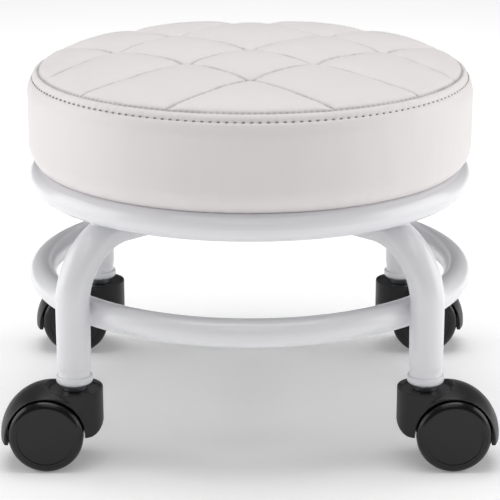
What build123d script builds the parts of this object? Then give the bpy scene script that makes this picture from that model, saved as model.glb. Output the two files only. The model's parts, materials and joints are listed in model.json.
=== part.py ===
from build123d import *
from math import acos, atan2, cos, pi, sin, sqrt
import os

# Low pedicure stool: a padded round seat on a welded tube frame with four twin-wheel casters.
# Millimetres. +Z is up, the floor is z = 0 and the seat's axis is the Z axis. The front is -Y.

# ---- frame tubes ----
LEG_X = 117.0            # each leg stands at (+-LEG_X, +-LEG_X)
LEG_R = 11.4             # 7/8 inch tube with its powder coat
LEG_WALL = 1.6
BEND_R = 46.0            # centre line radius of the leg bends
RING_R = 9.5             # 3/4 inch tube of both rings
RING_WALL = 1.5
SEAT_RING_R = 145.5
SEAT_RING_Z = 172.4
FOOT_RING_R = 147.5
FOOT_RING_Z = 101.7
DRAIN_R = 2.5            # drain hole in the underside of the closed seat ring
WELD_R = 5.5             # size of the weld where a leg touches the seat ring

# ---- caster sockets in the leg ends ----
COLLAR_R = 12.4
COLLAR_BOTTOM = 56.5
COLLAR_TOP = 62.0
COLLAR_ROUND = 2.4       # rounding of the collar's lower edge
COLLAR_SHOULDER = 0.9    # rounding of its upper edge
CRIMP = 0.7              # depth of the rolled groove that holds the socket in the leg
CRIMP_END = 9.0          # height of the rolled zone above the collar
SOCKET_LIP = 0.5         # how far the leg end is drawn in above the collar
SOCKET_BORE_R = 5.6
SOCKET_TOP = 86.0
SLIP = 0.05              # clearance between pushed-together pieces

# ---- caster stems ----
STEM_R = 5.5
STEM_TOP = 79.0
SHOULDER_R = 8.0
SHOULDER_BOTTOM = 52.4
PIVOT_R = 4.0            # lower part of the stem, on which the hood swivels
PIVOT_BOTTOM = 33.0
PIVOT_GROOVE_R = 3.4
PIVOT_GROOVE_Z = 37.5
GRIP_Z = 70.5
GRIP_HEIGHT = 4.6
GRIP_INNER_R = 4.5

# ---- caster hoods, before they are placed: the stem axis is x = y = 0 and the tail points to -X ----
TRAIL = 18.4             # distance from the stem axis to the wheel axle
WHEEL_R = 25.0
HALF_WIDTH = 23.0        # half the width over both wheels
WEB = 6.0                # half the thickness of the web between the wheels
HOOD_HALF = 19.5         # half the width of the hood, which leaves the wheels' outer edges free
HOOD_R = 34.0            # ridge of the hood, seen from the side
HOOD_X, HOOD_Z = -16.0, 21.5
HOOD_CROWN = 4.0         # how much lower the hood is at its sides than along its ridge
HOOD_TAIL_Z = 18.6
HOOD_CORNER_X = -16.0    # where the straight sides of the hood start to run in to the boss
BOSS_R = 18.8
BOSS_TOP = 53.6
BOSS_FRONT_Z = 30.0      # where the boss wall starts to curve in
BOSS_TIP_X, BOSS_TIP_Z = 10.2, 22.6
BOSS_MIDDLE = (15.8, 24.6)    # point halfway along the curve of the boss wall
RECESS_R = 17.4
RECESS_FLOOR = 52.0
ARCH_R = 25.8            # inside of the hood round a wheel
BOSS_WALL = 2.5
STEM_BOSS_R = 8.5
POCKET_BOTTOM, POCKET_TOP = 20.0, 49.0
AXLE_BOSS_R = 7.0
BORE_BOTTOM = 32.0
SNAP_RING_R, SNAP_RING = 5.0, 1.2
RUNNING = 0.06           # radial clearance of the pivots
AXLE_R = 3.0
AXLE_HALF = 19.3
SNAP_Y = 17.5            # snap bead of the wheel hub and the groove in the axle
SNAP_GROOVE_R = 2.6
WHEEL_GAP = 0.7          # gap between a wheel and the web
SHOULDER_ROUND = 5.0     # rounding of a wheel's outer edge
CAP_R = 19.0
CAP_DEPTH = 3.0
HUB_R = 6.5
RIM_INNER_R = 17.0
RIM_WEB_Y = 9.0          # inner end of the space between a wheel's rim and hub
BEAD = 0.4               # half the width of a snap bead

# ---- seat ----
SEAT_R = 155.0
SEAM_R = 147.0
SEAM_Z = 247.0
CROWN = 19.5             # height of the middle of the seat over the seam
EDGE = 16.0              # height of the rounded edges above and below the side wall
COVER = 1.2              # thickness of the synthetic leather
FLANGE_R = 136.5         # inner edge of the cover where it is turned under the board
BOARD_R = 147.5
BOARD = 12.0
LUG_R = 122.0            # radius of the four seat screws
LUG = 3.0
LUG_WIDTH = 25.0
LUG_INNER_R = 111.0
WASHER_R, WASHER = 8.0, 1.6
SCREW_R = 2.95
HEAD_R, HEAD = 5.4, 3.4
TNUT_R, TNUT_LENGTH = 4.0, 8.8
TNUT_FLANGE_R, TNUT_FLANGE = 9.5, 1.2
STAPLES = 16             # in each of the two rows
STAPLE_ROWS = (140.0, 131.5)
STAPLE_CROWN, STAPLE_WIRE, STAPLE_LEG = 10.0, 0.8, 6.0

# ---- values that follow ----
SEAT_BOTTOM = SEAT_RING_Z + RING_R
BOARD_BOTTOM = SEAT_BOTTOM + COVER
BOARD_TOP = BOARD_BOTTOM + BOARD
LUG_BOTTOM = SEAT_BOTTOM - LUG
CORNER = LEG_X * sqrt(2)
TOUCH = BEND_R + LEG_R + RING_R
BEND_CENTRE_R = CORNER - BEND_R
LEG_TOP = SEAT_RING_Z - sqrt(TOUCH**2 - (SEAT_RING_R - BEND_CENTRE_R) ** 2) + BEND_R - SLIP
CORNERS = {
    "front_left": (-1, -1),
    "front_right": (1, -1),
    "back_right": (1, 1),
    "back_left": (-1, 1),
}


def lathe(points):
    """A solid turned about the Z axis from the (radius, height) points of its outline."""
    return revolve(Plane.XZ * make_face(Polyline(*points, close=True)), Axis.Z)


def ring_of(shape, count=4, start=0.0):
    """The shape repeated round the Z axis, each copy a solid of its own."""
    return Compound([Rot(0, 0, start + 360 / count * i) * shape for i in range(count)])


# ---- legs ----
def leg_end_outline(inset):
    """Outline of a leg's rolled lower end, inset from its outer surface."""
    radius = LEG_R - inset
    return [
        (radius - SOCKET_LIP, COLLAR_TOP),
        (radius - CRIMP, COLLAR_TOP + 0.2 * CRIMP_END),
        (radius - CRIMP, COLLAR_TOP + 0.45 * CRIMP_END),
        (radius - 0.4 * CRIMP, COLLAR_TOP + 0.7 * CRIMP_END),
        (radius, COLLAR_TOP + CRIMP_END),
    ]


def leg_end():
    """The lower end of a leg tube, rolled into the groove of its caster socket."""
    return lathe(leg_end_outline(0) + leg_end_outline(LEG_WALL)[::-1])


def leg_path(reach):
    """Centre line of a leg in the X-Z plane, from its lower end to a distance from the middle."""
    low = COLLAR_TOP + CRIMP_END
    bend_z = LEG_TOP - BEND_R
    upright = Line((-CORNER, 0, low), (-CORNER, 0, bend_z))
    middle = (-CORNER + BEND_R * (1 - cos(pi / 4)), 0, bend_z + BEND_R * sin(pi / 4))
    bend = ThreePointArc((-CORNER, 0, bend_z), middle, (-BEND_CENTRE_R, 0, LEG_TOP))
    level = Line((-BEND_CENTRE_R, 0, LEG_TOP), (-reach, 0, LEG_TOP))
    return upright, bend, level


def half_leg(radius, reach):
    """A solid rod along a leg's centre line."""
    rod = None
    for edge in leg_path(reach):
        section = Plane(origin=edge @ 0, z_dir=edge % 0) * Circle(radius)
        piece = sweep(section, path=edge)
        rod = piece if rod is None else rod + piece
    return rod


def hoop(radius):
    """A solid rod along the continuous hoop: up one leg, across, and down the opposite one."""
    half = half_leg(radius, 0)
    return half + Rot(0, 0, 180) * half


def leg_hoop():
    """The hoop tube that forms the front left and back right legs."""
    end = Pos(-CORNER, 0, 0) * leg_end()
    tube = hoop(LEG_R) - hoop(LEG_R - LEG_WALL)
    return Rot(0, 0, 45) * (tube + end + Rot(0, 0, 180) * end)


def leg_branch(turn):
    """A J-shaped leg tube whose upper end is coped to the middle of the hoop."""
    tube = half_leg(LEG_R, 0) - half_leg(LEG_R - LEG_WALL, 0)
    tube += Pos(-CORNER, 0, 0) * leg_end()
    crossing = Pos(0, 0, LEG_TOP) * Rot(90, 0, 0) * Cylinder(LEG_R, 8 * LEG_R)
    return Rot(0, 0, turn) * (tube - crossing)


# ---- rings ----
def seat_ring():
    """The tube ring that the seat stands on."""
    ring = Pos(0, 0, SEAT_RING_Z) * (Torus(SEAT_RING_R, RING_R) - Torus(SEAT_RING_R, RING_R - RING_WALL))
    drain = Pos(0, SEAT_RING_R, SEAT_RING_Z - RING_R) * Cylinder(DRAIN_R, RING_R)
    return ring - drain


def foot_ring():
    """The lower ring, coped where it is welded to the inner sides of the legs."""
    ring = Pos(0, 0, FOOT_RING_Z) * (Torus(FOOT_RING_R, RING_R) - Torus(FOOT_RING_R, RING_R - RING_WALL))
    for x, y in CORNERS.values():
        ring -= Pos(x * LEG_X, y * LEG_X, FOOT_RING_Z) * Cylinder(LEG_R, 4 * RING_R)
    return ring


def ring_welds():
    """The four welds between the seat ring and the tops of the leg bends."""
    tilt = (SEAT_RING_R - BEND_CENTRE_R) / TOUCH
    radius = BEND_CENTRE_R + (BEND_R + LEG_R) * tilt
    height = LEG_TOP - BEND_R + (BEND_R + LEG_R) * sqrt(1 - tilt**2)
    blob = Rot(0, 0, -45) * Pos(0, radius, height) * Sphere(WELD_R)
    blob = blob - Pos(0, 0, SEAT_RING_Z) * Torus(SEAT_RING_R, RING_R)
    blob = blob - Rot(0, 0, -135) * half_leg(LEG_R, BEND_CENTRE_R - LEG_R)
    return ring_of(blob)


def seat_lugs():
    """Four plates welded inside the seat ring, flush with its top, for the seat screws."""
    length = SEAT_RING_R - LUG_INNER_R
    plate = Pos(LUG_INNER_R + length / 2, 0, SEAT_BOTTOM - LUG / 2) * Box(length, LUG_WIDTH, LUG)
    plate = fillet(plate.edges().filter_by(Axis.Z).group_by(Axis.X)[0], 8)
    plate = plate - Pos(LUG_R, 0, SEAT_BOTTOM) * Cylinder(SCREW_R + 0.35, 4 * LUG)
    plate = plate - Pos(0, 0, SEAT_RING_Z) * Torus(SEAT_RING_R, RING_R)
    inner = max(plate.solids(), key=lambda solid: solid.volume)
    return ring_of(inner)


# ---- sockets and stems ----
def socket():
    """Flared insert in a leg end, with the blind bore that the caster stem is pushed into."""
    body = lathe(
        [
            (0, COLLAR_BOTTOM),
            (COLLAR_R, COLLAR_BOTTOM),
            (COLLAR_R, COLLAR_TOP),
        ]
        + leg_end_outline(LEG_WALL + SLIP)
        + [(LEG_R - LEG_WALL - SLIP, SOCKET_TOP), (0, SOCKET_TOP)]
    )
    rims = body.edges().filter_by(GeomType.CIRCLE).filter_by(lambda edge: abs(edge.radius - COLLAR_R) < 0.01)
    lower, upper = rims.sort_by(Axis.Z)
    body = fillet(lower, COLLAR_ROUND)
    body = fillet(body.edges().sort_by_distance(upper.center())[0], COLLAR_SHOULDER)
    bore = Pos(0, 0, (COLLAR_BOTTOM + STEM_TOP) / 2) * Cylinder(SOCKET_BORE_R, STEM_TOP + 2 - COLLAR_BOTTOM)
    return body - bore


def stem():
    """Grip-ring stem: an upper part for the socket, a shoulder, and the pivot for the hood."""
    return lathe(
        [
            (0, PIVOT_BOTTOM),
            (PIVOT_R - 0.8, PIVOT_BOTTOM),
            (PIVOT_R, PIVOT_BOTTOM + 0.8),
            (PIVOT_R, PIVOT_GROOVE_Z - 0.9),
            (PIVOT_GROOVE_R, PIVOT_GROOVE_Z - 0.9),
            (PIVOT_GROOVE_R, PIVOT_GROOVE_Z + 0.9),
            (PIVOT_R, PIVOT_GROOVE_Z + 0.9),
            (PIVOT_R, SHOULDER_BOTTOM),
            (SHOULDER_R, SHOULDER_BOTTOM),
            (SHOULDER_R, COLLAR_BOTTOM),
            (STEM_R, COLLAR_BOTTOM),
            (STEM_R, GRIP_Z - GRIP_HEIGHT / 2 - 0.2),
            (GRIP_INNER_R - SLIP, GRIP_Z - GRIP_HEIGHT / 2 - 0.2),
            (GRIP_INNER_R - SLIP, GRIP_Z + GRIP_HEIGHT / 2 + 0.2),
            (STEM_R, GRIP_Z + GRIP_HEIGHT / 2 + 0.2),
            (STEM_R, STEM_TOP - 2.5),
            (STEM_R - 2.0, STEM_TOP),
            (0, STEM_TOP),
        ]
    )


def grip_ring():
    """Split spring ring on the stem that holds it in the socket."""
    ring = Cylinder(SOCKET_BORE_R - SLIP / 2, GRIP_HEIGHT) - Cylinder(GRIP_INNER_R, GRIP_HEIGHT)
    slit = Pos(STEM_R, 0, 0) * Box(2 * STEM_R, 2.0, 2 * GRIP_HEIGHT)
    return Pos(0, 0, GRIP_Z) * (ring - slit)


# ---- casters ----
def along_y(radius, near, far):
    """A cylinder on the wheel axis between two distances from the middle of the caster."""
    return Pos(-TRAIL, (near + far) / 2, WHEEL_R) * Rot(90, 0, 0) * Cylinder(radius, far - near)


def hood_plan():
    """Top view of a hood: straight sides over the wheels that run tangent into the round boss."""
    corner = Vector(HOOD_CORNER_X, HOOD_HALF)
    tail = HOOD_X - 2 * HOOD_R
    turn = atan2(corner.Y, corner.X) - acos(BOSS_R / corner.length)
    touch = (BOSS_R * cos(turn), BOSS_R * sin(turn))
    lower = (touch[0], -touch[1])
    sides = Polyline(
        (corner.X, -HOOD_HALF),
        (tail, -HOOD_HALF),
        (tail, HOOD_HALF),
        (corner.X, HOOD_HALF),
        touch,
    )
    return make_face(sides + ThreePointArc(touch, (BOSS_R, 0), lower) + Line(lower, (corner.X, -HOOD_HALF)))


def hood_ridge():
    """The crowned barrel that gives the hood its ridge, its tail and its rounded sides."""
    side = HOOD_R - HOOD_CROWN
    half = ThreePointArc((side, -HOOD_HALF), (HOOD_R, 0), (side, HOOD_HALF))
    face = make_face(half + Polyline((side, HOOD_HALF), (0, HOOD_HALF), (0, -HOOD_HALF), (side, -HOOD_HALF)))
    barrel = Pos(HOOD_X, 0, HOOD_Z) * revolve(face, Axis.Y)
    size = 4 * HOOD_R
    keep = Pos(1 - size / 2, 0, HOOD_TAIL_Z + size / 2) * Box(size, size, size)
    return barrel & keep


def boss_block():
    """The round boss with its curved front, drawn from the side through the whole width."""
    front = ThreePointArc((BOSS_R, BOSS_FRONT_Z), BOSS_MIDDLE, (BOSS_TIP_X, BOSS_TIP_Z))
    rest = Polyline(
        (BOSS_TIP_X, BOSS_TIP_Z),
        (-BOSS_R, BOSS_TIP_Z),
        (-BOSS_R, BOSS_TOP),
        (BOSS_R, BOSS_TOP),
        (BOSS_R, BOSS_FRONT_Z),
    )
    return extrude(Plane.XZ * make_face(front + rest), HALF_WIDTH, both=True) & Cylinder(BOSS_R, 4 * BOSS_TOP)


def hood():
    """Moulded caster hood: two wheel covers, the web between them, and the boss for the stem."""
    block = (hood_ridge() + boss_block()) & extrude(hood_plan(), 2 * BOSS_TOP)
    block = block - Pos(0, 0, BOSS_TOP + 10) * Cylinder(BOSS_R, 20)
    block = block - Pos(0, 0, RECESS_FLOOR + 10) * Cylinder(RECESS_R, 20)
    pocket_height = POCKET_TOP - POCKET_BOTTOM
    pocket = Pos(0, 0, (POCKET_TOP + POCKET_BOTTOM) / 2) * (
        Cylinder(BOSS_R - BOSS_WALL, pocket_height) - Cylinder(STEM_BOSS_R, pocket_height)
    )
    pocket = pocket - Box(4 * BOSS_R, 2 * WEB, 4 * BOSS_TOP)
    lower = Pos(-TRAIL, 0, 0) * Box(2 * ARCH_R, 2 * WEB, 2 * WHEEL_R)
    block = block - pocket - lower + along_y(AXLE_BOSS_R, -WEB, WEB)
    for side in (1, -1):
        block -= along_y(ARCH_R, *sorted((side * WEB, side * 2 * HALF_WIDTH)))
    block = block - along_y(AXLE_R + RUNNING / 6, -HALF_WIDTH, HALF_WIDTH)
    bore_height = RECESS_FLOOR + 2 - BORE_BOTTOM
    bore = Pos(0, 0, BORE_BOTTOM + bore_height / 2) * Cylinder(PIVOT_R + RUNNING, bore_height)
    groove = Pos(0, 0, PIVOT_GROOVE_Z) * Cylinder(SNAP_RING_R, SNAP_RING)
    return block - bore - groove


def retaining_ring():
    """Split ring in the hood's bore that keeps the hood on the stem's pivot."""
    ring = Cylinder(SNAP_RING_R, SNAP_RING) - Cylinder(PIVOT_GROOVE_R + RUNNING, SNAP_RING)
    slit = Pos(SNAP_RING_R, 0, 0) * Box(2 * SNAP_RING_R, 1.5, 4 * SNAP_RING)
    return Pos(0, 0, PIVOT_GROOVE_Z) * (ring - slit)


def turned_on_axle(points):
    """A solid turned about the wheel axis from (distance from the middle, radius) points."""
    face = make_face(Polyline(*[(radius, width) for width, radius in points], close=True))
    return Pos(-TRAIL, 0, WHEEL_R) * revolve(face, Axis.Y)


def axle():
    """Steel axle with a groove near each end for the wheels' snap beads."""
    groove_near, groove_far = SNAP_Y - 2 * BEAD, SNAP_Y + 2 * BEAD
    half = [
        (0, AXLE_R),
        (groove_near, AXLE_R),
        (groove_near, SNAP_GROOVE_R),
        (groove_far, SNAP_GROOVE_R),
        (groove_far, AXLE_R),
        (AXLE_HALF - 0.6, AXLE_R),
        (AXLE_HALF, AXLE_R - 0.6),
    ]
    left = [(-width, radius) for width, radius in half[:0:-1]]
    return turned_on_axle([(-AXLE_HALF, 0)] + left + half[1:] + [(AXLE_HALF, 0)])


def wheel(side):
    """One wheel: tread rim with a rounded outer edge, a web, and a hub that snaps on the axle."""
    inner = WEB + WHEEL_GAP
    bore = AXLE_R + RUNNING
    bead = SNAP_GROOVE_R + RUNNING
    body = turned_on_axle(
        [
            (inner, bore),
            (inner, WHEEL_R - 1.0),
            (inner + 1.0, WHEEL_R),
            (HALF_WIDTH, WHEEL_R),
            (HALF_WIDTH, CAP_R),
            (HALF_WIDTH - CAP_DEPTH, CAP_R),
            (HALF_WIDTH - CAP_DEPTH, RIM_INNER_R),
            (RIM_WEB_Y, RIM_INNER_R),
            (RIM_WEB_Y, HUB_R),
            (AXLE_HALF, HUB_R),
            (AXLE_HALF, bore),
            (SNAP_Y + BEAD, bore),
            (SNAP_Y + BEAD, bead),
            (SNAP_Y - BEAD, bead),
            (SNAP_Y - BEAD, bore),
        ]
    )
    rim = body.edges().filter_by(GeomType.CIRCLE).filter_by(
        lambda edge: abs(edge.radius - WHEEL_R) < 0.01 and edge.center().Y > HALF_WIDTH - 0.1
    )
    body = fillet(rim, SHOULDER_ROUND)
    return body if side > 0 else mirror(body, Plane.XZ)


def wheel_cap(side):
    """Press-in disc that closes a wheel's outer face, slightly domed."""
    inner = HALF_WIDTH - CAP_DEPTH
    face = make_face(
        Polyline((CAP_R - SLIP, HALF_WIDTH - 0.5), (CAP_R - SLIP, inner), (0, inner), (0, HALF_WIDTH))
        + ThreePointArc((0, HALF_WIDTH), (CAP_R / 2, HALF_WIDTH - 0.12), (CAP_R - SLIP, HALF_WIDTH - 0.5))
    )
    body = Pos(-TRAIL, 0, WHEEL_R) * revolve(face, Axis.Y)
    return body if side > 0 else mirror(body, Plane.XZ)


# ---- seat ----
def dome(inset):
    """Half outline of the seat's outer surface, inset by the thickness of its cover."""
    top_z = SEAM_Z + CROWN - inset
    seam = (SEAM_R - 0.6 * inset, SEAM_Z - 0.9 * inset)
    side = SEAT_R - inset
    base = SEAT_BOTTOM + inset
    span = seam[0] / 2
    drop = (top_z - seam[1]) / 4
    over = ThreePointArc((0, top_z), (span, top_z - drop), seam)
    edge = TangentArc((side, SEAM_Z - EDGE), seam, tangent=(0, 1))
    wall = Line((side, SEAM_Z - EDGE), (side, base + EDGE))
    under = TangentArc((side, base + EDGE), (BOARD_R, base), tangent=(0, -1))
    return over, edge, wall, under


def seat_form(inset):
    """The whole seat as one solid, inset by the thickness of its cover."""
    over, edge, wall, under = dome(inset)
    base = SEAT_BOTTOM + inset
    closing = Polyline((BOARD_R, base), (0, base), (0, SEAM_Z + CROWN - inset))
    face = make_face(over + edge + wall + under + closing)
    return revolve(Plane.XZ * face, Axis.Z)


def staple():
    """One staple, its crown under the cover and its legs up in the board."""
    z = SEAT_BOTTOM
    crown = Pos(0, 0, z - STAPLE_WIRE / 2) * Box(STAPLE_WIRE, STAPLE_CROWN, STAPLE_WIRE)
    for y in (-1, 1):
        place = Pos(0, y * (STAPLE_CROWN - STAPLE_WIRE) / 2, z + STAPLE_LEG / 2)
        crown += place * Box(STAPLE_WIRE, STAPLE_WIRE, STAPLE_LEG)
    return crown


def staples():
    """Both rows of staples: the outer one through the cover, the inner one through the felt."""
    start = 180 / STAPLES
    rows = [ring_of(Pos(radius, 0, 0) * staple(), STAPLES, start) for radius in STAPLE_ROWS]
    return Compound([solid for row in rows for solid in row.solids()])


def at_screws(shape):
    """The shape repeated at the four seat screws."""
    return ring_of(Pos(LUG_R, 0, 0) * shape)


def seat_screw():
    """Button-head screw with a hexagon socket, from under its lug up into the T-nut."""
    head_top = LUG_BOTTOM - WASHER
    head = Pos(0, 0, head_top - HEAD / 2) * Cylinder(HEAD_R, HEAD)
    head = fillet(head.edges().group_by(Axis.Z)[0], 1.8)
    shank_top = BOARD_TOP
    shank = Pos(0, 0, (head_top + shank_top) / 2) * Cylinder(SCREW_R, shank_top - head_top)
    key = extrude(Pos(0, 0, head_top - HEAD) * RegularPolygon(2.3, 6), 2.2)
    return head + shank - key


def washer():
    """Plain washer under a lug."""
    return Pos(0, 0, LUG_BOTTOM - WASHER / 2) * (Cylinder(WASHER_R, WASHER) - Cylinder(SCREW_R + 0.25, WASHER))


def t_nut():
    """T-nut in the board, its flange on the board's upper face."""
    barrel = Pos(0, 0, BOARD_TOP - TNUT_LENGTH / 2) * Cylinder(TNUT_R, TNUT_LENGTH)
    flange = Pos(0, 0, BOARD_TOP + TNUT_FLANGE / 2) * Cylinder(TNUT_FLANGE_R, TNUT_FLANGE)
    return barrel + flange - Pos(0, 0, BOARD_TOP) * Cylinder(SCREW_R + SLIP, 4 * TNUT_LENGTH)


def seat_board(rows):
    """Round plywood board with the holes for the T-nuts and the slots of the staples."""
    board = Pos(0, 0, BOARD_BOTTOM + BOARD / 2) * Cylinder(BOARD_R, BOARD)
    holes = at_screws(Pos(0, 0, BOARD_BOTTOM) * Cylinder(TNUT_R, 4 * BOARD))
    return board - holes.solids() - rows


def foam_pad():
    """Foam over the board and down its edge, with pockets for the T-nut flanges."""
    pad = seat_form(COVER) - Pos(0, 0, BOARD_BOTTOM + BOARD / 2) * Cylinder(BOARD_R, BOARD)
    flange = Pos(0, 0, BOARD_TOP + TNUT_FLANGE / 2) * Cylinder(TNUT_FLANGE_R, TNUT_FLANGE)
    return pad - at_screws(flange).solids()


def cover_shell():
    """The cover as one skin, before it is parted at the seam."""
    return seat_form(0) - seat_form(COVER)


def seam_cone():
    """A solid whose lower surface is a shallow cone through the seam, which parts the cover there."""
    slope, reach = 0.4, 60.0
    tip = SEAM_Z - slope * SEAM_R
    return lathe([(0, SEAM_Z + reach), (0, tip), (SEAM_R + reach, SEAM_Z + slope * reach)])


def cover_top(shell):
    """Top panel of the cover, which is quilted on the finished seat."""
    return shell & seam_cone()


def cover_band(shell, rows):
    """Side band of the cover, turned under the board."""
    hole = Pos(0, 0, SEAT_BOTTOM) * Cylinder(FLANGE_R, 8 * COVER)
    return shell - seam_cone() - hole - rows


def dust_cover(rows):
    """Felt disc that closes the underside of the board."""
    felt = Pos(0, 0, SEAT_BOTTOM + COVER / 2) * Cylinder(FLANGE_R - 0.5, COVER)
    holes = at_screws(Pos(0, 0, SEAT_BOTTOM) * Cylinder(SCREW_R + 0.35, 8 * COVER))
    return felt - holes.solids() - rows


def frame_nodes():
    """Every piece of the welded frame and its sockets, stems and grip rings."""
    nodes = {
        "seat_ring": seat_ring(),
        "foot_ring": foot_ring(),
        "leg_hoop": leg_hoop(),
        "leg_front_right": leg_branch(135),
        "leg_back_left": leg_branch(-45),
        "ring_welds": ring_welds(),
        "seat_lugs": seat_lugs(),
    }
    pieces = {"socket_": socket(), "stem_": stem(), "grip_ring_": grip_ring()}
    for corner, (x, y) in CORNERS.items():
        place = Pos(x * LEG_X, y * LEG_X, 0)
        nodes.update({name + corner: place * piece for name, piece in pieces.items()})
    return nodes


def caster_nodes():
    """Every piece of the four casters. The left ones trail to -X and the right ones to +X."""
    pieces = {
        "hood_{}": hood(),
        "axle_{}": axle(),
        "retaining_ring_{}": retaining_ring(),
        "wheel_{}_a": wheel(1),
        "wheel_{}_b": wheel(-1),
        "wheel_cap_{}_a": wheel_cap(1),
        "wheel_cap_{}_b": wheel_cap(-1),
    }
    nodes = {}
    for corner, (x, y) in CORNERS.items():
        place = Pos(x * LEG_X, y * LEG_X, 0) * Rot(0, 0, 0 if x < 0 else 180)
        nodes.update({name.format(corner): place * piece for name, piece in pieces.items()})
    return nodes


def seat_nodes():
    """Every piece of the seat, from its felt up to its cover, and its fasteners."""
    rows = staples()
    shell = cover_shell()
    return {
        "seat_board": seat_board(rows.solids()),
        "foam_pad": foam_pad(),
        "cover_top": cover_top(shell),
        "cover_band": cover_band(shell, rows.solids()),
        "dust_cover": dust_cover(rows.solids()),
        "staples": rows,
        "t_nuts": at_screws(t_nut()),
        "seat_screws": at_screws(seat_screw()),
        "washers": at_screws(washer()),
    }


def main():
    os.makedirs("parts", exist_ok=True)
    for name, shape in {**frame_nodes(), **caster_nodes(), **seat_nodes()}.items():
        export_step(shape, f"parts/{name}.step")


main()
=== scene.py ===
"""Pedicure stool: a quilted round seat on a white tube frame with four twin-wheel casters.

The packed solids are the frame. This add-on makes the padded cover with its seams and stitches,
the weld beads and the finished caster hoods, and gives every other solid its real finish.
"""

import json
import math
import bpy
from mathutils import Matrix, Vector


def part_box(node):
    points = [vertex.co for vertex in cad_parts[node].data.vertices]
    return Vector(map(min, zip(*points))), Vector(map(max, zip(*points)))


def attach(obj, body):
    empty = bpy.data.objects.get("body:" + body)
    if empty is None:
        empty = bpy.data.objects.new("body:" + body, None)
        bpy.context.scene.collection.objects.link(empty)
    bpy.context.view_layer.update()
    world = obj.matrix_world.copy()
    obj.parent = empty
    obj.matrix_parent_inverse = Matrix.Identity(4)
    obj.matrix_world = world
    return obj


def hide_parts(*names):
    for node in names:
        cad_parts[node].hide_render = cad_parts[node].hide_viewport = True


bl_info = {
    "name": "Pedicure stool",
    "version": (1, 0, 0),
    "blender": (4, 5, 0),
    "location": "3D View > Sidebar > Stool",
    "description": "Cover, stitches, welds, casters and finishes of a round pedicure stool",
    "category": "Object",
}

import bmesh
import bpy
import numpy as np
from bpy.props import FloatProperty, FloatVectorProperty, IntProperty, PointerProperty
from mathutils import Matrix, Vector, noise
from mathutils.bvhtree import BVHTree
from mathutils.geometry import delaunay_2d_cdt

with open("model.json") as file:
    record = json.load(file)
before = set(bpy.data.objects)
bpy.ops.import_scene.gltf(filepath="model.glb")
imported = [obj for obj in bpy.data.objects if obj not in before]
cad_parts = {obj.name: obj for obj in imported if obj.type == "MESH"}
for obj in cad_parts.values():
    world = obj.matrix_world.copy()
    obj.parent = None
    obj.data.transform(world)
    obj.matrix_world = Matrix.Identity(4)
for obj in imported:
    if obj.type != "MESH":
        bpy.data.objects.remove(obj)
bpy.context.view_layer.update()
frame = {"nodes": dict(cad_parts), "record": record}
MM = 0.001
CORNERS = ("front_left", "front_right", "back_right", "back_left")
CUSHION = "quilted_cushion"
RIM = 780                       # points round the seam
BAND_STEP = 0.75 * MM           # distance between rows on the side band near its edges
UNDER_ROWS = 5                  # rows of points on the turned-under edge


def linear(code):
    """A colour's hex code as linear red, green and blue."""
    channels = [int(code[i : i + 2], 16) / 255 for i in (1, 3, 5)]
    return tuple(c / 12.92 if c <= 0.04045 else ((c + 0.055) / 1.055) ** 2.4 for c in channels)


# ---- sizes read from the frame ----
def radius_of(node):
    """Largest radius of a node that is centred on the Z axis."""
    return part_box(node)[1].x


def axis_of(node):
    """Middle of a node in plan."""
    low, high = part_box(node)
    return (low + high) / 2


SEAM_R = radius_of("cover_top")
SEAT_R = radius_of("cover_band")
SEAM_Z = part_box("cover_band")[1].z
CROWN_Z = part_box("cover_top")[1].z
SEAT_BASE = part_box("cover_band")[0].z
BOARD_R = radius_of("seat_board")
FLANGE_R = radius_of("dust_cover") + 0.5 * MM
EDGE_DROP = 16 * MM             # height of the rounded edges of the side band
LEG_X = axis_of("socket_back_right").x
LEG_R = 11.4 * MM
RING_R = (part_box("foot_ring")[1].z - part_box("foot_ring")[0].z) / 2
FOOT_RING_R = radius_of("foot_ring") - RING_R
FOOT_RING_Z = axis_of("foot_ring").z
SEAT_RING_R = radius_of("seat_ring") - RING_R
SEAT_RING_Z = axis_of("seat_ring").z
LEG_TOP_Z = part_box("leg_hoop")[1].z - LEG_R

# ---- the quilt: three lines each way, as an offset from the middle, a bow and a slant ----
QUILT_LINES = (
    (-62.1 * MM, 4.0 * MM, 0.0),
    (-3.8 * MM, 14.5 * MM, 1.5 * MM),
    (77.0 * MM, 1.0 * MM, 17.5 * MM),
)


# ---- settings that a user would change ----
class QuiltSettings(bpy.types.PropertyGroup):
    """Shape of the quilted top."""

    pad_height: FloatProperty(
        name="Pad height",
        description="How far the middle of a quilted pad stands over the quilt lines",
        default=6.2 * MM,
        unit="LENGTH",
    )
    knot_depth: FloatProperty(
        name="Crossing depth",
        description="How much deeper the cover is drawn in where two quilt lines cross",
        default=2.0 * MM,
        unit="LENGTH",
    )
    crease_depth: FloatProperty(
        name="Crease depth",
        description="Depth of the narrow crease along a quilt line",
        default=1.3 * MM,
        unit="LENGTH",
    )
    stitch_pitch: FloatProperty(
        name="Quilt stitch pitch",
        description="Distance from one quilting stitch to the next",
        default=3.6 * MM,
        unit="LENGTH",
    )
    pressure: FloatProperty(
        name="Filling pressure",
        description="Pressure of the foam on the cover while it settles",
        default=4.0,
    )


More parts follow.
